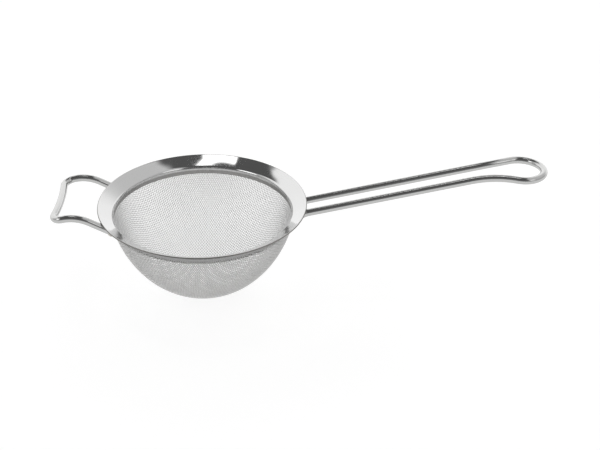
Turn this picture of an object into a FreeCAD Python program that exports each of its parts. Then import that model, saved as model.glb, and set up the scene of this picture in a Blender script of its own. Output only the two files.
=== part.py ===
"""Tea strainer: a stamped stainless rim, a woven bowl held by a pressed ring,
a bent wire handle and a bent wire rest.

Frame, millimetres: the origin is the centre of the rim, level with the top of its lip.
+X runs out along the handle, the rest points to -X and the bowl hangs down along -Z.
"""
import FreeCAD, Part
import os
from math import asin, cos, pi, radians, sin, sqrt, tan

os.makedirs("parts", exist_ok=True)
V = FreeCAD.Vector

# --- rim: one stamping, a funnel-shaped flange turned down into a short collar
RIM_D = 80.0               # over the lip
SHEET = 0.5                # sheet thickness
FLANGE_SLOPE = 28.0        # degrees, falling towards the bowl
COLLAR_R = 34.1            # inside face of the collar
COLLAR_FOOT_Z = -6.0       # lower edge of the collar
LIP_ROUND = 0.18           # rounding of the lip's two edges
FOOT_ROUND = 0.15          # rounding of the collar's lower edge
TURN_R = 1.7               # the bend from flange to collar, on its outside

# --- bowl: woven wire cloth, drawn as a skin two cloth wires thick
CLOTH = 0.5
CLOTH_GAP = 0.02           # between the cloth and the sheet on either side of it
CLOTH_TOP_Z = -3.95        # trimmed edge, hidden between collar and ring
BOWL_CENTRE_Z = 5.36       # centre of the ellipsoid the bowl is pressed to
BOWL_HALF_DEPTH = 43.76    # vertical semi-axis, outside

# --- retaining ring, pressed over the cloth from outside
RING_TOP_Z = -3.3
RING_FOOT_Z = -4.5
RING_ROUND = 0.12

# --- wires, both bent from the same stock
WIRE_D = 2.8

# --- handle: a hairpin whose closed end spreads into a hanging loop
HANDLE_HALF_GAP = 4.8      # centre plane to wire centre
HANDLE_RISE = 12.8         # degrees
HANDLE_START_X = 36.8      # cut ends
HANDLE_START_Z = -3.61
HANDLE_KNEE_S = 2.0        # from the cut end to the knee under the lip
HANDLE_KNEE_R = 8.0
HANDLE_STRAIGHT = 62.6     # from the knee to where the wires spread
FLARE_R = 41.0             # the wires spread and droop together round this radius
FLARE_TILT = 30.7          # degrees, how far that bend leans downwards
FLARE_TURN = 24.1          # degrees

# --- rest: a wide U that arches over the edge of the cup
REST_HALF_GAP = 15.75
REST_RISE = 27.5           # degrees
REST_START_X = 33.6        # cut ends
REST_START_Z = -3.71
REST_ARCH_S = 8.5          # from the cut end to the start of the arch
REST_ARCH_R = 14.3
REST_ARCH_TURN = 40.3      # degrees
REST_CORNER_R = 3.8
REST_CORNER_TURN = 97.1    # degrees, past square, so the crossbar bows in towards the bowl

# --- welds at the four cut ends
WELD_R = 1.75
WELD_IN = 0.6              # centre of the bead from the cut end, towards the ring
WELD_DOWN = 0.25

SLOPE = tan(radians(FLANGE_SLOPE))
LIP_R = RIM_D / 2 + LIP_ROUND * (cos(radians(FLANGE_SLOPE)) + sin(radians(FLANGE_SLOPE)) - 1)
LIP_TOP_R = LIP_R - SHEET * sin(radians(FLANGE_SLOPE))
UNDER_DROP = SHEET / cos(radians(FLANGE_SLOPE))
CLOTH_IN_R = COLLAR_R + SHEET + CLOTH_GAP
CLOTH_OUT_R = CLOTH_IN_R + CLOTH
RING_IN_R = CLOTH_OUT_R + CLOTH_GAP
RING_OUT_R = RING_IN_R + SHEET


def flange_z(r):
    """Height of the flange's upper face at radius r."""
    return -(LIP_TOP_R - r) * SLOPE


def rounded_face(corners):
    """Face in the XZ plane from (r, z, rounding) corners, each rounded by an arc."""
    pts = [V(r, 0, z) for r, z, _ in corners]
    count = len(pts)
    arcs = []
    for i, (_, _, radius) in enumerate(corners):
        back = (pts[i - 1] - pts[i]).normalize()
        ahead = (pts[(i + 1) % count] - pts[i]).normalize()
        half = back.getAngle(ahead) / 2
        reach = radius / tan(half)
        middle = (back + ahead).normalize() * (radius / sin(half) - radius)
        arcs.append((pts[i] + back * reach, pts[i] + middle, pts[i] + ahead * reach))
    edges = []
    for i in range(count):
        first, mid, last = arcs[i]
        edges.append(Part.Arc(first, mid, last).toShape())
        edges.append(Part.makeLine(last, arcs[(i + 1) % count][0]))
    return Part.Face(Part.Wire(edges))


def turned(face):
    return face.revolve(V(0, 0, 0), V(0, 0, 1), 360)


def make_rim():
    foot = COLLAR_R + SHEET
    return turned(rounded_face([
        (LIP_TOP_R, 0, LIP_ROUND),
        (LIP_R, -SHEET * cos(radians(FLANGE_SLOPE)), LIP_ROUND),
        (foot, flange_z(foot) - UNDER_DROP, TURN_R - SHEET),
        (foot, COLLAR_FOOT_Z, FOOT_ROUND),
        (COLLAR_R, COLLAR_FOOT_Z, FOOT_ROUND),
        (COLLAR_R, flange_z(COLLAR_R), TURN_R),
    ]))


def make_ring():
    return turned(rounded_face([
        (RING_IN_R, RING_TOP_Z, RING_ROUND),
        (RING_OUT_R, RING_TOP_Z, RING_ROUND),
        (RING_OUT_R, RING_FOOT_Z, RING_ROUND),
        (RING_IN_R, RING_FOOT_Z, RING_ROUND),
    ]))


def bowl_arc(collar_r, half_depth, radius):
    """Half-ellipse side of the bowl, from the collar's radius down to the pole."""
    z = BOWL_CENTRE_Z - half_depth * sqrt(1 - (collar_r / radius) ** 2)
    ellipse = Part.Ellipse(V(0, 0, BOWL_CENTRE_Z - half_depth), V(radius, 0, BOWL_CENTRE_Z),
                           V(0, 0, BOWL_CENTRE_Z))
    ends = [ellipse.parameter(V(0, 0, BOWL_CENTRE_Z - half_depth)), ellipse.parameter(V(collar_r, 0, z))]
    return ellipse.toShape(min(ends), max(ends)), V(collar_r, 0, z)


def make_bowl():
    foot = (COLLAR_FOOT_Z - BOWL_CENTRE_Z) / BOWL_HALF_DEPTH
    outer_r = CLOTH_OUT_R / sqrt(1 - foot ** 2)
    outer, outer_top = bowl_arc(CLOTH_OUT_R, BOWL_HALF_DEPTH, outer_r)
    inner, inner_top = bowl_arc(CLOTH_IN_R, BOWL_HALF_DEPTH - CLOTH, outer_r - CLOTH)
    pole = BOWL_CENTRE_Z - BOWL_HALF_DEPTH
    edges = [
        outer,
        Part.makeLine(outer_top, V(CLOTH_OUT_R, 0, CLOTH_TOP_Z)),
        Part.makeLine(V(CLOTH_OUT_R, 0, CLOTH_TOP_Z), V(CLOTH_IN_R, 0, CLOTH_TOP_Z)),
        Part.makeLine(V(CLOTH_IN_R, 0, CLOTH_TOP_Z), inner_top),
        inner,
        Part.makeLine(V(0, 0, pole + CLOTH), V(0, 0, pole)),
    ]
    return turned(Part.Face(Part.Wire(Part.__sortEdges__(edges))))


class Bend:
    """Centre line of one wire, grown from a cut end by straights and bends."""

    def __init__(self, start, heading):
        self.start = self.tip = start
        self.first = self.heading = heading
        self.edges = []

    def straight(self, length):
        end = self.tip + self.heading * length
        self.edges.append(Part.makeLine(self.tip, end))
        self.tip = end

    def turn(self, toward, radius, angle):
        """Bend towards a direction square to the heading."""
        centre = self.tip + toward * radius
        stops = [centre + self.heading * (radius * sin(a)) - toward * (radius * cos(a))
                 for a in (angle / 2, angle)]
        self.edges.append(Part.Arc(self.tip, stops[0], stops[1]).toShape())
        self.tip = stops[1]
        self.heading = self.heading * cos(angle) + toward * sin(angle)

    def round_wire(self):
        """Solid of the wire and its mirror image across the XZ plane."""
        other = [edge.mirror(V(0, 0, 0), V(0, 1, 0)) for edge in reversed(self.edges)]
        spine = Part.Wire(self.edges + other)
        section = Part.Wire([Part.makeCircle(WIRE_D / 2, self.start, self.first)])
        return spine.makePipeShell([section], True, False)


def rising(angle, way):
    """Heading in the XZ plane at an angle above level, and the direction square below it."""
    a = radians(angle)
    return V(way * cos(a), 0, sin(a)), V(way * sin(a), 0, -cos(a))


def make_handle():
    heading, below = rising(FLANGE_SLOPE, 1)
    wire = Bend(V(HANDLE_START_X, HANDLE_HALF_GAP, HANDLE_START_Z), heading)
    wire.straight(HANDLE_KNEE_S)
    wire.turn(below, HANDLE_KNEE_R, radians(FLANGE_SLOPE - HANDLE_RISE))
    wire.straight(HANDLE_STRAIGHT)
    below = rising(HANDLE_RISE, 1)[1]
    tilt = radians(FLARE_TILT)
    wire.turn(V(0, cos(tilt), 0) + below * sin(tilt), FLARE_R, radians(FLARE_TURN))
    ahead = V(wire.heading.x, 0, wire.heading.z)
    splay = asin(wire.heading.y)
    toward = ahead.normalize() * sin(splay) - V(0, cos(splay), 0)
    wire.turn(toward, wire.tip.y / cos(splay), pi / 2 + splay)
    return wire


def make_rest():
    heading, below = rising(REST_RISE, -1)
    wire = Bend(V(-REST_START_X, REST_HALF_GAP, REST_START_Z), heading)
    wire.straight(REST_ARCH_S)
    wire.turn(below, REST_ARCH_R, radians(REST_ARCH_TURN))
    ahead = wire.heading
    past = radians(REST_CORNER_TURN) - pi / 2
    wire.turn(V(0, -1, 0), REST_CORNER_R, radians(REST_CORNER_TURN))
    wire.turn(ahead * cos(past) - V(0, sin(past), 0), wire.tip.y / sin(past), past)
    return wire


def make_weld(end, heading, sheets):
    """Bead that fills the corner between a cut wire end, the ring and the flange."""
    out = V(heading.x, 0, 0).normalize()
    bead = Part.makeSphere(WELD_R, end - out * WELD_IN - V(0, 0, WELD_DOWN))
    for solid in sheets + [Part.makeCylinder(WIRE_D / 2, 2 * WELD_R, end, heading)]:
        bead = bead.cut(solid)
    return max(bead.Solids, key=lambda s: s.Volume)


rim = make_rim()
ring = make_ring()
bowl = make_bowl()
handle = make_handle()
rest = make_rest()

nodes = {
    "rim_flange": rim,
    "mesh_bowl": bowl,
    "retaining_ring": ring,
    "handle_wire": handle.round_wire(),
    "rest_wire": rest.round_wire(),
}
for name, wire in (("handle", handle), ("rest", rest)):
    for side, way in (("near", -1), ("far", 1)):
        end = V(wire.start.x, way * wire.start.y, wire.start.z)
        nodes["%s_weld_%s" % (name, side)] = make_weld(end, wire.first, [rim, ring, bowl])

for name, shape in nodes.items():
    shape.exportStep("parts/%s.step" % name)
    box = shape.BoundBox
    print("%-16s valid %s solids %d volume %8.1f x %.2f..%.2f y %.2f..%.2f z %.2f..%.2f" % (
        name, shape.isValid(), len(shape.Solids), shape.Volume,
        box.XMin, box.XMax, box.YMin, box.YMax, box.ZMin, box.ZMax))
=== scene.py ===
"""Looks of the tea strainer: polished rim, woven bowl, drawn-wire handle and rest.

Metres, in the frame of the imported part: origin at the rim's centre, level with its lip,
+X out along the handle, bowl down along -Z.
"""

import math
from math import acos, asin, cos, pi, radians, sin, sqrt, tan

import bpy
import numpy as np
from mathutils import Matrix, Vector


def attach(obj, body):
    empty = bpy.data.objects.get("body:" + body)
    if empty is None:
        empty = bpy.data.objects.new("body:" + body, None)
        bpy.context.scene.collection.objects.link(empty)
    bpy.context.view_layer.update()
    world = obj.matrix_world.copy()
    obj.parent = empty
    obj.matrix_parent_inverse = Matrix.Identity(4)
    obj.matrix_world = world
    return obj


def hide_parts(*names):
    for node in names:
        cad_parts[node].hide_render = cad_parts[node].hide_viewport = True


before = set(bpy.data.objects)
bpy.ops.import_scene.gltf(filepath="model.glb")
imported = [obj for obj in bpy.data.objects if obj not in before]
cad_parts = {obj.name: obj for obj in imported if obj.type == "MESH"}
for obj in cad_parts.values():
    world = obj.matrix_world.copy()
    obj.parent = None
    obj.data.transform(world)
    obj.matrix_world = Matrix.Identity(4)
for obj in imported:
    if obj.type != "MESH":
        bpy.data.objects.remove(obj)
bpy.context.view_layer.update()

MM = 0.001

# ------------------------------------------------------------------ sizes, millimetres
RIM_D = 80.0
SHEET = 0.5
FLANGE_SLOPE = radians(28.0)
COLLAR_R = 34.1
COLLAR_FOOT_Z = -6.0
TURN_R = 1.7
LIP_ROUND = 0.18
FOOT_ROUND = 0.15

CLOTH = 0.5
CLOTH_GAP = 0.02
BOWL_CENTRE_Z = 5.36
BOWL_HALF_DEPTH = 43.76

RING_TOP_Z = -3.3
RING_FOOT_Z = -4.5
RING_ROUND = 0.12

WIRE_R = 1.3999            # a hair inside the CAD wire

# Grain: how fast it changes on its way along the metal, against 1 across it.
POLISH_RUN = 2.5
DRAW_RUN = 0.05

LIP_R = RIM_D / 2 + LIP_ROUND * (cos(FLANGE_SLOPE) + sin(FLANGE_SLOPE) - 1)
LIP_TOP_R = LIP_R - SHEET * sin(FLANGE_SLOPE)
UNDER_DROP = SHEET / cos(FLANGE_SLOPE)
CLOTH_IN_R = COLLAR_R + SHEET + CLOTH_GAP
CLOTH_OUT_R = CLOTH_IN_R + CLOTH
RING_IN_R = CLOTH_OUT_R + CLOTH_GAP
RING_OUT_R = RING_IN_R + SHEET


# ------------------------------------------------------------------ mesh helpers
ARC_STEP = 0.035           # between points on a rounded edge


def smooth(x, x0, x1):
    """0 to 1 as x goes from x0 to x1, with level ends."""
    t = np.clip((x - x0) / (x1 - x0), 0, 1)
    return t * t * (3 - 2 * t)


def new_object(name, verts_mm, face_groups, material, attributes=None):
    """Mesh object from millimetre vertices and arrays of faces, one array per number of
    sides, smooth shaded, with point attributes."""
    mesh = bpy.data.meshes.new(name)
    verts = np.asarray(verts_mm, dtype=np.float64) * MM
    corners = np.concatenate([group.ravel() for group in face_groups]).astype(np.int32)
    sides = np.concatenate([np.full(len(group), group.shape[1]) for group in face_groups])
    mesh.vertices.add(len(verts))
    mesh.vertices.foreach_set("co", verts.ravel())
    mesh.loops.add(len(corners))
    mesh.loops.foreach_set("vertex_index", corners)
    mesh.polygons.add(len(sides))
    mesh.polygons.foreach_set("loop_start", (np.cumsum(sides) - sides).astype(np.int32))
    mesh.update(calc_edges=True)
    mesh.polygons.foreach_set("use_smooth", np.ones(len(sides), dtype=bool))
    for key, values in (attributes or {}).items():
        values = np.asarray(values, dtype=np.float32)
        kind = "FLOAT" if values.ndim == 1 else "FLOAT_VECTOR"
        layer = mesh.attributes.new(key, kind, "POINT")
        layer.data.foreach_set("value" if values.ndim == 1 else "vector", values.ravel())
    mesh.validate()
    mesh.materials.append(material)
    obj = bpy.data.objects.new(name, mesh)
    bpy.context.scene.collection.objects.link(obj)
    return obj


def rounded_outline(corners, step=ARC_STEP):
    """Closed (r, z) outline from (r, z, rounding) corners, arcs sampled finely."""
    pts = [np.array(c[:2]) for c in corners]
    count = len(pts)
    out = []
    for i, (_, _, radius) in enumerate(corners):
        back = pts[i - 1] - pts[i]
        ahead = pts[(i + 1) % count] - pts[i]
        back, ahead = back / np.linalg.norm(back), ahead / np.linalg.norm(ahead)
        half = acos(np.clip(back @ ahead, -1, 1)) / 2
        reach = radius / tan(half)
        centre = pts[i] + (back + ahead) / np.linalg.norm(back + ahead) * (radius / sin(half))
        first, last = pts[i] + back * reach, pts[i] + ahead * reach
        a0 = math.atan2(*(first - centre)[::-1])
        a1 = math.atan2(*(last - centre)[::-1])
        sweep = (a1 - a0 + pi) % (2 * pi) - pi
        n = max(3, int(abs(sweep) * radius / step))
        for k in range(n + 1):
            a = a0 + sweep * k / n
            out.append(centre + radius * np.array([cos(a), sin(a)]))
    return np.array(out)


def refine(outline, longest):
    """Adds points so that no side of a closed outline is longer than the given length."""
    out = []
    for p, q in zip(outline, np.roll(outline, -1, axis=0)):
        n = max(1, int(math.ceil(np.linalg.norm(q - p) / longest)))
        out += [p + (q - p) * k / n for k in range(n)]
    return np.array(out)


def turned(name, outline, segments, material, shape=None, dull_and_shade=None):
    """Revolves a closed (r, z) outline. shape(r, z, angle) may move the points slightly;
    dull(r, z) says how far a point's surface is from polished, 0 to 1."""
    angles = np.arange(segments) * (2 * pi / segments)
    r = np.repeat(outline[None, :, 0], segments, axis=0)
    z = np.repeat(outline[None, :, 1], segments, axis=0)
    a = np.repeat(angles[:, None], len(outline), axis=1)
    if shape:
        r, z = shape(r, z, a)
    verts = np.stack([r * np.cos(a), r * np.sin(a), z], axis=2).reshape(-1, 3)
    count = len(outline)
    i, j = np.meshgrid(np.arange(segments), np.arange(count), indexing="ij")
    ni, nj = (i + 1) % segments, (j + 1) % count
    faces = np.stack([i * count + j, ni * count + j, ni * count + nj, i * count + nj], axis=2)
    tone = np.zeros(len(outline)) if dull_and_shade is None else dull_and_shade(outline[:, 0], outline[:, 1])
    flow = np.stack([r, z + POLISH_RUN * np.cos(a), POLISH_RUN * np.sin(a)], axis=2) * MM
    return new_object(name, verts, [faces.reshape(-1, 4)[:, ::-1]], material,
                      {"dull_and_shade": np.tile(tone, segments), "flow": flow.reshape(-1, 3)})


# ------------------------------------------------------------------ materials
def nodes_of(name):
    """A new material: itself, its node tree and its shader."""
    material = bpy.data.materials.new(name)
    material.use_nodes = True
    tree = material.node_tree
    tree.nodes.clear()
    out = tree.nodes.new("ShaderNodeOutputMaterial")
    shader = tree.nodes.new("ShaderNodeBsdfPrincipled")
    tree.links.new(shader.outputs[0], out.inputs[0])
    return material, tree, shader


def add(tree, kind, **settings):
    node = tree.nodes.new(kind)
    for key, value in settings.items():
        setattr(node, key, value)
    return node


SMUDGE_SCALE = 55.0        # handling marks, cycles per metre
SCUFF_SCALE = 420.0        # cells of fine scratches, per metre
SCUFF_WARP = 0.02          # how far the smudges bend the scratches
SCUFF_WIDTH = 0.03         # of a cell
WAVE_SCALE = 70.0          # slow waves left in the sheet by pressing
GRAIN_HEIGHT = 0.00002
DARKEST_SHADE = 0.93       # of the tint, under smudges
DULL_ROUGHNESS = 0.28      # added where the surface is unpolished
# Dark colour for unpolished metal, also used as painted shade on the cloth's outer side.
DULL_AND_SHADE_TINT = (0.20, 0.195, 0.185, 1)


def steel(name, tint, rough, grain, grain_size, wear, smudge, wavy=0.0, follows=True):
    """Stainless steel: fine grain, faint scratches and handling marks. rough is the polished
    roughness, grain the strength of the grain's bump and grain_size its cycles per metre,
    wear the roughness of scratches, smudge that of handling marks, wavy the height of the
    pressing waves in metres. follows lays the grain along the metal's flow."""
    material, tree, shader = nodes_of(name)
    link = tree.links.new
    shader.inputs["Metallic"].default_value = 1.0
    place = add(tree, "ShaderNodeTexCoord")
    flow = add(tree, "ShaderNodeAttribute", attribute_name="flow")
    fine = add(tree, "ShaderNodeTexNoise")
    fine.inputs["Scale"].default_value = grain_size
    fine.inputs["Detail"].default_value = 6.0
    fine.inputs["Roughness"].default_value = 0.65
    link(flow.outputs["Vector"] if follows else place.outputs["Object"], fine.inputs["Vector"])
    broad = add(tree, "ShaderNodeTexNoise")
    broad.inputs["Scale"].default_value = SMUDGE_SCALE
    broad.inputs["Detail"].default_value = 4.0
    link(place.outputs["Object"], broad.inputs["Vector"])
    scuff = add(tree, "ShaderNodeTexVoronoi", feature="DISTANCE_TO_EDGE")
    scuff.inputs["Scale"].default_value = SCUFF_SCALE
    warp = add(tree, "ShaderNodeVectorMath", operation="MULTIPLY_ADD")
    link(broad.outputs["Color"], warp.inputs[0])
    warp.inputs[1].default_value = (SCUFF_WARP, SCUFF_WARP, SCUFF_WARP)
    link(place.outputs["Object"], warp.inputs[2])
    link(warp.outputs[0], scuff.inputs["Vector"])
    thin = add(tree, "ShaderNodeMapRange")
    link(scuff.outputs["Distance"], thin.inputs["Value"])
    thin.inputs["From Min"].default_value = 0.0
    thin.inputs["From Max"].default_value = SCUFF_WIDTH
    thin.inputs["To Min"].default_value = wear
    thin.inputs["To Max"].default_value = 0.0
    rough_range = add(tree, "ShaderNodeMapRange")
    link(broad.outputs["Fac"], rough_range.inputs["Value"])
    rough_range.inputs["From Min"].default_value = 0.35
    rough_range.inputs["From Max"].default_value = 0.7
    rough_range.inputs["To Min"].default_value = rough
    rough_range.inputs["To Max"].default_value = rough + smudge
    total = add(tree, "ShaderNodeMath", operation="ADD", use_clamp=True)
    link(rough_range.outputs[0], total.inputs[0])
    link(thin.outputs[0], total.inputs[1])
    dull_and_shade = add(tree, "ShaderNodeAttribute", attribute_name="dull_and_shade")
    rougher = add(tree, "ShaderNodeMath", operation="MULTIPLY_ADD", use_clamp=True)
    link(dull_and_shade.outputs["Fac"], rougher.inputs[0])
    rougher.inputs[1].default_value = DULL_ROUGHNESS
    link(total.outputs[0], rougher.inputs[2])
    link(rougher.outputs[0], shader.inputs["Roughness"])
    shade = add(tree, "ShaderNodeMix", data_type="RGBA")
    link(broad.outputs["Fac"], shade.inputs["Factor"])
    shade.inputs["A"].default_value = (*[c * DARKEST_SHADE for c in tint], 1)
    shade.inputs["B"].default_value = (*tint, 1)
    # Darkens the colour where the metal is unpolished, and paints shade on the outer side of the cloth.
    sheared_and_shaded = add(tree, "ShaderNodeMix", data_type="RGBA")
    link(dull_and_shade.outputs["Fac"], sheared_and_shaded.inputs["Factor"])
    link(shade.outputs["Result"], sheared_and_shaded.inputs["A"])
    sheared_and_shaded.inputs["B"].default_value = DULL_AND_SHADE_TINT
    link(sheared_and_shaded.outputs["Result"], shader.inputs["Base Color"])
    bump = add(tree, "ShaderNodeBump")
    bump.inputs["Strength"].default_value = grain
    bump.inputs["Distance"].default_value = GRAIN_HEIGHT
    link(fine.outputs["Fac"], bump.inputs["Height"])
    waves = add(tree, "ShaderNodeTexNoise")
    waves.inputs["Scale"].default_value = WAVE_SCALE
    waves.inputs["Detail"].default_value = 1.0
    link(place.outputs["Object"], waves.inputs["Vector"])
    swell = add(tree, "ShaderNodeBump")
    swell.inputs["Strength"].default_value = 1.0
    swell.inputs["Distance"].default_value = wavy
    link(waves.outputs["Fac"], swell.inputs["Height"])
    link(swell.outputs["Normal"], bump.inputs["Normal"])
    link(bump.outputs["Normal"], shader.inputs["Normal"])
    return material


SHEET_STEEL = steel("polished sheet", (0.60, 0.60, 0.598), rough=0.055, grain=0.10,
                    grain_size=1500.0, wear=0.04, smudge=0.05, wavy=0.00022)
# Tint set well below bare steel: partly the band's duller pressed finish, partly painted shade from the flange's
# overhang and the shaded floor the band reflects.
RING_STEEL_SHADED = steel("pressed band shaded", (0.31, 0.31, 0.308), rough=0.22, grain=0.25,
                   grain_size=1100.0, wear=0.06, smudge=0.08)
WIRE_STEEL = steel("drawn wire", (0.53, 0.53, 0.526), rough=0.11, grain=0.22,
                   grain_size=2400.0, wear=0.05, smudge=0.06)
CLOTH_STEEL = steel("cloth wire", (0.90, 0.90, 0.898), rough=0.40, grain=0.10,
                    grain_size=2500.0, wear=0.02, smudge=0.08, follows=False)
WELD_STEEL = steel("weld bead", (0.50, 0.475, 0.44), rough=0.30, grain=0.60,
                   grain_size=1400.0, wear=0.10, smudge=0.20, follows=False)


# ------------------------------------------------------------------ rim
ROUND_STEPS = 700          # round the rim
SPOTS = 90                 # spot-weld dimples round the inside of the collar
SPOT_Z = -4.9
SPOT_DEPTH = 0.07
SPOT_HALF_WIDTH = 0.75
SPOT_HALF_HEIGHT = 0.6
COLLAR_TOP_Z = -3.9        # the collar's inside is straight below this
FACE_REACH = 0.02          # how near the collar's inside a point counts as on it
BOW = 0.015                # slope gained per millimetre towards the bend
BOW_FROM_R = 38.0
BEND_R = 35.0              # where the bend begins
BOW_GONE_Z = -5.0          # the collar's inside takes up the bow by this height
UPPER_DEPTH = 0.35         # the upper face and its bend lie less than this below the cone
COLLAR_DULL = 0.62         # 0 is polished, 1 is sheared metal
UNDER_DULL = 0.5


def flange_z(r):
    """Height of the flange's upper face."""
    return -(LIP_TOP_R - r) * tan(FLANGE_SLOPE)


def spot_depth(z, a):
    """Depth of the weld dimples at height z and angle a."""
    phase = (a * SPOTS / (2 * pi) + 0.5) % 1.0 - 0.5
    across = phase * 2 * pi * COLLAR_R / SPOTS / SPOT_HALF_WIDTH
    up = (z - SPOT_Z) / SPOT_HALF_HEIGHT
    return SPOT_DEPTH * np.exp(-(across ** 2 + up ** 2) * 1.5)


def rim_shape(r, z, a):
    """Weld dimples inside the collar; the flange's upper face steepens a little to the bend."""
    collar_face = r < COLLAR_R + FACE_REACH
    upper = collar_face | (z > flange_z(r) - UPPER_DEPTH)
    bow = 0.5 * BOW * np.clip(BOW_FROM_R - r, 0, BOW_FROM_R - BEND_R) ** 2
    lowered = np.where(upper, bow * smooth(z, BOW_GONE_Z, COLLAR_TOP_Z), 0)
    r = r + np.where(collar_face & (z < COLLAR_TOP_Z), spot_depth(z, a), 0)
    return r, z - lowered


def rim_dull(r, z):
    """The lip's sheared edge, the collar below the bend and the unpolished underside."""
    out = (r - LIP_TOP_R) * cos(FLANGE_SLOPE) + z * sin(FLANGE_SLOPE)
    lip = smooth(out, -0.17, -0.03)
    collar = COLLAR_DULL * smooth(z, -4.0, -4.5)
    under = UNDER_DULL * smooth(flange_z(r) - z, 0.3, 0.5) * (r > COLLAR_R + SHEET)
    return np.maximum(np.maximum(lip, collar), under)


RING_STEPS = 720
foot_r = COLLAR_R + SHEET
rim_outline = refine(rounded_outline([
    (LIP_TOP_R, 0, LIP_ROUND),
    (LIP_R, -SHEET * cos(FLANGE_SLOPE), LIP_ROUND),
    (foot_r, flange_z(foot_r) - UNDER_DROP, TURN_R - SHEET),
    (foot_r, COLLAR_FOOT_Z, FOOT_ROUND),
    (COLLAR_R, COLLAR_FOOT_Z, FOOT_ROUND),
    (COLLAR_R, flange_z(COLLAR_R), TURN_R),
], 0.06), 0.2)
rim = turned("rim_flange_polished", rim_outline, ROUND_STEPS, SHEET_STEEL, rim_shape, rim_dull)

ring_outline = refine(rounded_outline([
    (RING_IN_R, RING_TOP_Z, RING_ROUND),
    (RING_OUT_R, RING_TOP_Z, RING_ROUND),
    (RING_OUT_R, RING_FOOT_Z, RING_ROUND),
    (RING_IN_R, RING_FOOT_Z, RING_ROUND),
], 0.06), 0.25)
ring = turned("retaining_ring_band", ring_outline, RING_STEPS, RING_STEEL_SHADED)


# ------------------------------------------------------------------ bowl of woven cloth
CLOTH_WIRE_R = CLOTH / 4
PITCH = 0.88               # between cloth wires, measured along them
CROSSINGS = 94             # along each half wire through the pole, enough to pass the trim
NET_TOP_Z = 4.0            # the net is grown up to here, then trimmed
WIDEST_CELL = 1.98         # pitches across a sheared cell, just short of closing it
WEAVE_TURN = radians(45)   # of the warp, from the handle's direction
CLOTH_SIDES = 5            # sides of a cloth wire's section
TRIM_Z = -4.3
SHORTEST_END = 0.15        # of a pitch, past a wire's last crossing
OUTER_PAINTED_SHADE = 0.42          # painted shade on the cloth's outer side, which faces the shaded floor under the bowl; also a little rougher there
rng = np.random.default_rng(7)
foot_ratio = (COLLAR_FOOT_Z - BOWL_CENTRE_Z) / BOWL_HALF_DEPTH
BOWL_R = CLOTH_OUT_R / sqrt(1 - foot_ratio ** 2) - CLOTH / 2     # middle of the cloth
BOWL_B = BOWL_HALF_DEPTH - CLOTH / 2


def on_bowl(start, a, b, pitch):
    """Points one pitch from both a and b on the bowl's ellipsoid, by Newton's method."""
    p = start.copy()
    for _ in range(8):
        da, db = p - a, p - b
        q = p - np.array([0, 0, BOWL_CENTRE_Z])
        value = np.stack([(da ** 2).sum(1) - pitch ** 2, (db ** 2).sum(1) - pitch ** 2,
                          (q[:, 0] ** 2 + q[:, 1] ** 2) / BOWL_R ** 2 + q[:, 2] ** 2 / BOWL_B ** 2 - 1], 1)
        slope = np.stack([2 * da, 2 * db, 2 * q / np.array([BOWL_R ** 2, BOWL_R ** 2, BOWL_B ** 2])], 1)
        step = np.linalg.solve(slope, value[:, :, None])[:, :, 0]
        p = p - np.clip(step, -pitch, pitch)
    return p


def meridian(count, pitch):
    """Points a pitch apart along one meridian, up from the pole: (r, z)."""
    out = [(0.0, BOWL_CENTRE_Z - BOWL_B)]
    t = 0.0
    for _ in range(count - 1):
        dt = pitch / BOWL_R
        for _ in range(6):
            r, z = BOWL_R * sin(t + dt), BOWL_CENTRE_Z - BOWL_B * cos(t + dt)
            miss = math.hypot(r - out[-1][0], z - out[-1][1])
            dt *= pitch / miss
        t += dt
        out.append((BOWL_R * sin(t), BOWL_CENTRE_Z - BOWL_B * cos(t)))
    return np.array(out)


def woven_quarter(count, pitch):
    """One quarter of the pressed cloth's net of crossings: both families keep their length."""
    net = np.full((count, count, 3), np.nan)
    line = meridian(count, pitch)
    net[:, 0] = np.stack([line[:, 0], 0 * line[:, 0], line[:, 1]], 1)
    net[0, :] = np.stack([0 * line[:, 0], line[:, 0], line[:, 1]], 1)
    for total in range(2, 2 * count - 1):
        i = np.arange(max(1, total - count + 1), min(count, total))
        j = total - i
        a, b, c = net[i - 1, j], net[i, j - 1], net[i - 1, j - 1]
        good = np.isfinite(a[:, 0]) & np.isfinite(b[:, 0])
        good &= (a[:, 2] < NET_TOP_Z) & (b[:, 2] < NET_TOP_Z)
        good &= np.linalg.norm(a - b, axis=1) < WIDEST_CELL * pitch
        if not good.any():
            continue
        i, j, a, b, c = i[good], j[good], a[good], b[good], c[good]
        net[i, j] = on_bowl(a + b - c, a, b, pitch)
    return net


def full_net(quarter):
    """The whole net, from its quarter mirrored twice."""
    count = len(quarter)
    size = 2 * count - 1
    net = np.full((size, size, 3), np.nan)
    mid = count - 1
    for sx in (1, -1):
        for sy in (1, -1):
            block = quarter * np.array([sx, sy, 1])
            rows = slice(mid, size) if sx > 0 else slice(mid, None, -1)
            cols = slice(mid, size) if sy > 0 else slice(mid, None, -1)
            net[rows, cols] = block
    return net


def bowl_normal(p):
    """Outward normals of the bowl."""
    q = p - np.array([0, 0, BOWL_CENTRE_Z])
    n = q / np.array([BOWL_R ** 2, BOWL_R ** 2, BOWL_B ** 2])
    return n / np.linalg.norm(n, axis=1, keepdims=True)


def tube_faces(rings, sides):
    """Side faces and end caps of a closed tube, whose rings follow each other."""
    i, j = np.meshgrid(np.arange(rings - 1), np.arange(sides), indexing="ij")
    nj = (j + 1) % sides
    walls = np.stack([i * sides + j, i * sides + nj, (i + 1) * sides + nj, (i + 1) * sides + j], 2)
    ends = np.stack([np.arange(sides)[::-1], (rings - 1) * sides + np.arange(sides)])
    return walls.reshape(-1, 4), ends


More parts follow.
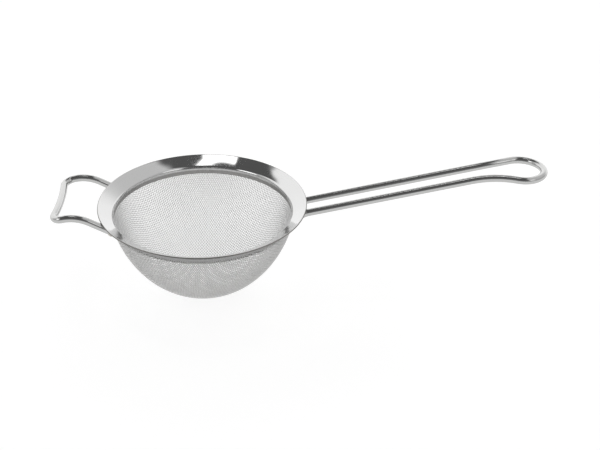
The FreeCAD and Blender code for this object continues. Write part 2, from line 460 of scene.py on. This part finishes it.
def tube(path, normals, radius, sides):
    """Rings of points round a path and square to it."""
    ahead = np.gradient(path, axis=0)
    ahead /= np.linalg.norm(ahead, axis=1, keepdims=True)
    side = np.cross(normals, ahead)
    side /= np.linalg.norm(side, axis=1, keepdims=True)
    up = np.cross(ahead, side)
    a = np.arange(sides) * (2 * pi / sides) + pi / sides
    rings = path[:, None] + radius * (np.cos(a)[None, :, None] * side[:, None]
                                      + np.sin(a)[None, :, None] * up[:, None])
    return rings.reshape(-1, 3)


def trimmed(rows):
    """A wire's rows, cut at both ends where the wire passes the trim height."""
    low = np.nonzero(rows[:, 2] < TRIM_Z)[0]
    ends = []
    for last, past in ((low[0], low[0] - 1), (low[-1], low[-1] + 1)):
        share = (TRIM_Z - rows[last, 2]) / (rows[past, 2] - rows[last, 2])
        ends.append(rows[last] + (rows[past] - rows[last]) * max(share, SHORTEST_END))
    return np.vstack([ends[0], rows[low[0]:low[-1] + 1], ends[1]])


def with_midpoints(rows):
    """The rows with a smooth point added half way between each two."""
    padded = np.vstack([2 * rows[:1] - rows[1:2], rows, 2 * rows[-1:] - rows[-2:-1]])
    middle = (9 * (padded[1:-2] + padded[2:-1]) - padded[:-3] - padded[3:]) / 16
    out = np.empty((2 * len(rows) - 1, rows.shape[1]))
    out[::2], out[1::2] = rows, middle
    return out


def cloth_wires(net, family, sides):
    """One family of cloth wires, passing over and under the other."""
    verts, walls, ends, tones, base = [], [], [], [], 0
    size = net.shape[0]
    turn = np.array([[cos(WEAVE_TURN), -sin(WEAVE_TURN), 0], [sin(WEAVE_TURN), cos(WEAVE_TURN), 0], [0, 0, 1]])
    for k in range(size):
        line = net[k] if family == 0 else net[:, k]
        keep = np.isfinite(line[:, 0]) & (line[:, 2] < TRIM_Z + PITCH)
        if keep.sum() < 4:
            continue
        index = np.nonzero(keep)[0]
        index = np.arange(index[0], index[-1] + 1)
        path = line[index]
        if not np.isfinite(path).all():
            continue
        over = np.where((index + k) % 2 == 0, 1.0, -1.0) * (1 if family == 0 else -1)
        if (path[:, 2] < TRIM_Z).sum() < 3 or min(path[0, 2], path[-1, 2]) < TRIM_Z:
            continue
        rows = np.delete(with_midpoints(trimmed(np.column_stack([path, over]))), [1, -2], axis=0)
        path, over = rows[:, :3], rows[:, 3]
        normal = bowl_normal(path)
        r = np.hypot(path[:, 0], path[:, 1])
        limit = (CLOTH_IN_R + CLOTH_OUT_R) / 2
        path = path * np.stack([np.minimum(1, limit / np.maximum(r, 1e-6))] * 2 + [np.ones_like(r)], 1)
        path = path + normal * (over * CLOTH_WIRE_R)[:, None]
        v = tube(path @ turn.T, normal @ turn.T, CLOTH_WIRE_R, sides)
        wall, end = tube_faces(len(path), sides)
        outward = ((v.reshape(-1, sides, 3) - (path @ turn.T)[:, None]) * (normal @ turn.T)[:, None]).sum(2)
        # Painted shade: the outer half of each wire, facing the floor under the bowl, is darkened and roughened;
        # each wire also gets a small random tone.
        tones.append(OUTER_PAINTED_SHADE * smooth(outward / CLOTH_WIRE_R, -0.4, 0.6).ravel() + rng.uniform(-0.03, 0.05))
        verts.append(v)
        walls.append(wall + base)
        ends.append(end + base)
        base += len(v)
    return np.vstack(verts), [np.vstack(walls), np.vstack(ends)], np.clip(np.concatenate(tones), 0, 1)


net = full_net(woven_quarter(CROSSINGS, PITCH))
for family, name in enumerate(("cloth_warp_wires", "cloth_weft_wires")):
    verts, faces, tones = cloth_wires(net, family, CLOTH_SIDES)
    cloth = new_object(name, verts, faces, CLOTH_STEEL, {"dull_and_shade": tones})
    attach(cloth, "root")
    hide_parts("mesh_bowl")


# ------------------------------------------------------------------ handle and rest wires
HANDLE_START = (36.8, 4.8, -3.61)      # centre of a cut end
HANDLE_RISE = radians(12.8)
HANDLE_KNEE_S = 2.0                    # from the cut end to the knee under the lip
HANDLE_KNEE_R = 8.0
HANDLE_STRAIGHT = 62.6
FLARE_R = 41.0                         # the wires spread and droop together
FLARE_TILT = radians(30.7)
FLARE_TURN = radians(24.1)

REST_START = (-33.6, 15.75, -3.71)
REST_RISE = radians(27.5)
REST_ARCH_S = 8.5
REST_ARCH_R = 14.3
REST_ARCH_TURN = radians(40.3)
REST_CORNER_R = 3.8
REST_CORNER_PAST = radians(7.1)        # past square, so the crossbar bows in

WIRE_SIDES = 40
END_CHAMFER = 0.18
END_INNER_R = 0.35                     # ring of points inside each cut end


class Bend:
    """Centre line of half a wire, grown from its cut end by straights and bends."""

    def __init__(self, start, heading):
        self.tip, self.heading = np.array(start, float), np.array(heading, float)
        self.points = [self.tip]

    def straight(self, length, step=1.2):
        count = max(1, int(length / step))
        self.points += [self.tip + self.heading * (length * k / count) for k in range(1, count + 1)]
        self.tip = self.points[-1]

    def turn(self, toward, radius, angle, step=0.45):
        toward = np.array(toward, float)
        centre = self.tip + toward * radius
        count = max(3, int(radius * angle / step))
        for k in range(1, count + 1):
            a = angle * k / count
            self.points.append(centre + self.heading * (radius * sin(a)) - toward * (radius * cos(a)))
        self.tip = self.points[-1]
        self.heading = self.heading * cos(angle) + toward * sin(angle)

    def whole(self):
        half = np.array(self.points)
        return np.vstack([half, half[-2::-1] * np.array([1, -1, 1])])


def rising(angle, way):
    """Directions along and square below a wire that rises at an angle towards way * X."""
    return (np.array([way * cos(angle), 0, sin(angle)]), np.array([way * sin(angle), 0, -cos(angle)]))


def handle_path():
    heading, below = rising(FLANGE_SLOPE, 1)
    wire = Bend(HANDLE_START, heading)
    wire.straight(HANDLE_KNEE_S)
    wire.turn(below, HANDLE_KNEE_R, FLANGE_SLOPE - HANDLE_RISE)
    wire.straight(HANDLE_STRAIGHT)
    below = rising(HANDLE_RISE, 1)[1]
    outward = np.array([0, cos(FLARE_TILT), 0]) + below * sin(FLARE_TILT)
    wire.turn(outward, FLARE_R, FLARE_TURN)
    ahead = np.array([wire.heading[0], 0, wire.heading[2]])
    splay = asin(wire.heading[1])
    toward = ahead / np.linalg.norm(ahead) * sin(splay) - np.array([0, cos(splay), 0])
    wire.turn(toward, wire.tip[1] / cos(splay), pi / 2 + splay)
    return wire.whole()


def rest_path():
    heading, below = rising(REST_RISE, -1)
    wire = Bend(REST_START, heading)
    wire.straight(REST_ARCH_S)
    wire.turn(below, REST_ARCH_R, REST_ARCH_TURN)
    ahead = wire.heading
    past = REST_CORNER_PAST
    wire.turn((0, -1, 0), REST_CORNER_R, pi / 2 + past)
    wire.turn(ahead * cos(past) - np.array([0, sin(past), 0]), wire.tip[1] / sin(past), past)
    return wire.whole()


def round_wire(name, path, material):
    """Closed round wire with a small chamfer at each cut end."""
    ahead = np.gradient(path, axis=0)
    ahead /= np.linalg.norm(ahead, axis=1, keepdims=True)
    side = np.cross(ahead[0], (0, 0, 1.0))
    side /= np.linalg.norm(side)
    sides, chamfer = WIRE_SIDES, END_CHAMFER
    a = np.arange(sides) * (2 * pi / sides)
    rings, frames = [], []
    for t in ahead:
        side = side - t * (side @ t)
        side /= np.linalg.norm(side)
        frames.append((side, np.cross(t, side)))
    spots = [(0, 0.0, END_INNER_R), (0, 0.0, WIRE_R - chamfer), (0, chamfer * 0.3, WIRE_R - chamfer * 0.3)]
    spots += [(0, chamfer, WIRE_R)]
    spots += [(i, 0.0, WIRE_R) for i in range(1, len(path) - 1)]
    end = len(path) - 1
    spots += [(end, -chamfer, WIRE_R), (end, -chamfer * 0.3, WIRE_R - chamfer * 0.3)]
    spots += [(end, 0.0, WIRE_R - chamfer), (end, 0.0, END_INNER_R)]
    along = np.concatenate([[0], np.cumsum(np.linalg.norm(np.diff(path, axis=0), axis=1))])
    flow = []
    for i, shift, radius in spots:
        u, v = frames[i]
        centre = path[i] + ahead[i] * shift
        rings.append(centre + radius * (np.cos(a)[:, None] * u + np.sin(a)[:, None] * v))
        flow.append(np.stack([0 * a + (along[i] + shift) * DRAW_RUN, radius * np.cos(a), radius * np.sin(a)], 1))
    verts = np.vstack(rings)
    return new_object(name, verts, tube_faces(len(rings), sides), material, {"flow": np.vstack(flow) * MM})


handle = round_wire("handle_hairpin_wire", handle_path(), WIRE_STEEL)
rest = round_wire("cup_rest_wire", rest_path(), WIRE_STEEL)

for obj, node, finish in ((rim, "rim_flange", "polished_steel"), (ring, "retaining_ring", "polished_steel"),
                          (handle, "handle_wire", "drawn_wire"), (rest, "rest_wire", "drawn_wire")):
    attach(obj, "root")
    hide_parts(node)

for node in ("handle_weld_near", "handle_weld_far", "rest_weld_near", "rest_weld_far"):
    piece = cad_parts[node]
    piece.data.materials.clear()
    piece.data.materials.append(WELD_STEEL)


# ------------------------------------------------------------------ floor, light, camera
FLOOR_HALF = 4000.0
FLOOR_GAP = 0.05           # below the bowl
FLOOR_GLOW = 0.78          # keeps the paper white under a soft shadow

floor_material, tree, shader = nodes_of("floor")
shader.inputs["Base Color"].default_value = (0.35, 0.35, 0.35, 1)
shader.inputs["Roughness"].default_value = 0.9
shader.inputs["Emission Color"].default_value = (1, 1, 1, 1)
shader.inputs["Emission Strength"].default_value = FLOOR_GLOW
floor_z = BOWL_CENTRE_Z - BOWL_HALF_DEPTH - FLOOR_GAP
floor_corners = [(x * FLOOR_HALF, y * FLOOR_HALF, floor_z) for x, y in ((-1, -1), (1, -1), (1, 1), (-1, 1))]
floor = new_object("floor", floor_corners, [np.array([[0, 1, 2, 3]])], floor_material)

world = bpy.data.worlds.new("studio")
bpy.context.scene.world = world
world.use_nodes = True
tree = world.node_tree
tree.nodes.clear()
out = tree.nodes.new("ShaderNodeOutputWorld")
ground = tree.nodes.new("ShaderNodeBackground")
tree.links.new(ground.outputs[0], out.inputs[0])
place = add(tree, "ShaderNodeTexCoord")
way = add(tree, "ShaderNodeSeparateXYZ")
tree.links.new(place.outputs["Generated"], way.inputs[0])


def math_node(operation, first, second):
    node = add(tree, "ShaderNodeMath", operation=operation)
    for k, value in enumerate((first, second)):
        if isinstance(value, (int, float)):
            node.inputs[k].default_value = value
        else:
            tree.links.new(value, node.inputs[k])
    return node.outputs[0]


def ramp(value, start, full):
    """0 to 1 as a value goes from start to full."""
    span = add(tree, "ShaderNodeMapRange", interpolation_type="SMOOTHSTEP")
    tree.links.new(value, span.inputs["Value"])
    span.inputs["From Min"].default_value = min(start, full)
    span.inputs["From Max"].default_value = max(start, full)
    if start > full:
        span.inputs["To Min"].default_value = 1.0
        span.inputs["To Max"].default_value = 0.0
    return span.outputs[0]


def facing(direction, start, full):
    """0 to 1 as a direction in the sky turns towards a given one, in degrees off it."""
    dot = add(tree, "ShaderNodeVectorMath", operation="DOT_PRODUCT")
    tree.links.new(place.outputs["Generated"], dot.inputs[0])
    dot.inputs[1].default_value = Vector(direction).normalized()
    return ramp(dot.outputs["Value"], cos(radians(start)), cos(radians(full)))


HORIZON = 0.05             # the ceiling is cut off below this height of view


def panel(corners, edge):
    """1 inside a straight-sided panel of the ceiling. The corners run anticlockwise, in heights
    above the object; edge is how soft its sides are."""
    high = math_node("MAXIMUM", way.outputs["Z"], HORIZON)
    across = math_node("DIVIDE", way.outputs["X"], high)
    deep = math_node("DIVIDE", way.outputs["Y"], high)
    mask = ramp(way.outputs["Z"], HORIZON, 0.12)
    for (x0, y0), (x1, y1) in zip(corners, corners[1:] + corners[:1]):
        length = math.hypot(x1 - x0, y1 - y0)
        in_x, in_y = (y0 - y1) / length, (x1 - x0) / length
        reach = math_node("ADD", math_node("MULTIPLY", across, in_x), math_node("MULTIPLY", deep, in_y))
        start = in_x * x0 + in_y * y0
        mask = math_node("MULTIPLY", mask, ramp(reach, start - edge, start + edge))
    return mask


def blend_sky(below, above, mask):
    """One brightness or sky over another, where the mask is 1."""
    mix = add(tree, "ShaderNodeMix", data_type="RGBA")
    tree.links.new(mask, mix.inputs["Factor"])
    for socket, colour in (("A", below), ("B", above)):
        if isinstance(colour, float):
            mix.inputs[socket].default_value = (colour, colour, colour, 1)
        else:
            tree.links.new(colour, mix.inputs[socket])
    return mix.outputs["Result"]


BACK_WALL = facing((-0.12, 0.90, 0.33), 78, 56)
RIGHT_SIDE = facing((0.60, 0.30, 0.74), 42, 16)
DARK_FRONT = math_node("MULTIPLY", facing((-0.13, -0.87, 0.44), 45, 34), ramp(way.outputs["Z"], -0.05, 0.30))
DARK_CEILING = panel([(-0.9, -1.2), (0.28, -1.2), (0.28, 1.0), (-0.9, 1.0)], 0.035)
CEILING_CORNER = panel([(-0.52, 0.46), (-0.52, 1.2), (-1.2, 1.2), (-1.2, 1.04)], 0.03)
SOFTBOX = panel([(-0.295, 0.150), (-0.040, 0.015), (0.066, 0.015), (-0.085, 0.19), (-0.295, 0.19)], 0.012)
LEFT_LAMP = facing((-0.74, -0.42, 0.52), 13, 10)
RIGHT_LAMP = facing((0.56, -0.58, 0.58), 13, 10)
DARK_SHARE = math_node("MULTIPLY", DARK_CEILING, math_node("SUBTRACT", 1.0, CEILING_CORNER))

sky = blend_sky(0.64, 1.38, BACK_WALL)
for brightness, mask in ((0.83, RIGHT_SIDE), (0.18, DARK_FRONT), (0.13, DARK_SHARE), (3.0, SOFTBOX),
                         (2.2, LEFT_LAMP), (1.5, RIGHT_LAMP)):
    sky = blend_sky(sky, brightness, mask)
tree.links.new(sky, ground.inputs[0])
ground.inputs[1].default_value = 1.0


CAMERA_AT = (0.02596297, -0.36691831, 0.20972514)
YAW, ELEVATION, ROLL = radians(-1.797), radians(30.947), radians(0.912)

camera_data = bpy.data.cameras.new("camera")
camera_data.lens = 66.0
camera_data.sensor_width = 36.0
camera = bpy.data.objects.new("camera", camera_data)
bpy.context.scene.collection.objects.link(camera)
bpy.context.scene.camera = camera
back = Vector((sin(YAW) * cos(ELEVATION), -cos(YAW) * cos(ELEVATION), sin(ELEVATION)))
level = Vector((cos(YAW), sin(YAW), 0))
upward = back.cross(level)
right = level * cos(ROLL) + upward * sin(ROLL)
up = upward * cos(ROLL) - level * sin(ROLL)
camera.matrix_world = Matrix((
    (right.x, up.x, back.x, CAMERA_AT[0]),
    (right.y, up.y, back.y, CAMERA_AT[1]),
    (right.z, up.z, back.z, CAMERA_AT[2]),
    (0, 0, 0, 1)))
camera_data.clip_start = 0.01
camera_data.clip_end = 20.0
bpy.context.scene.view_settings.view_transform = "Standard"
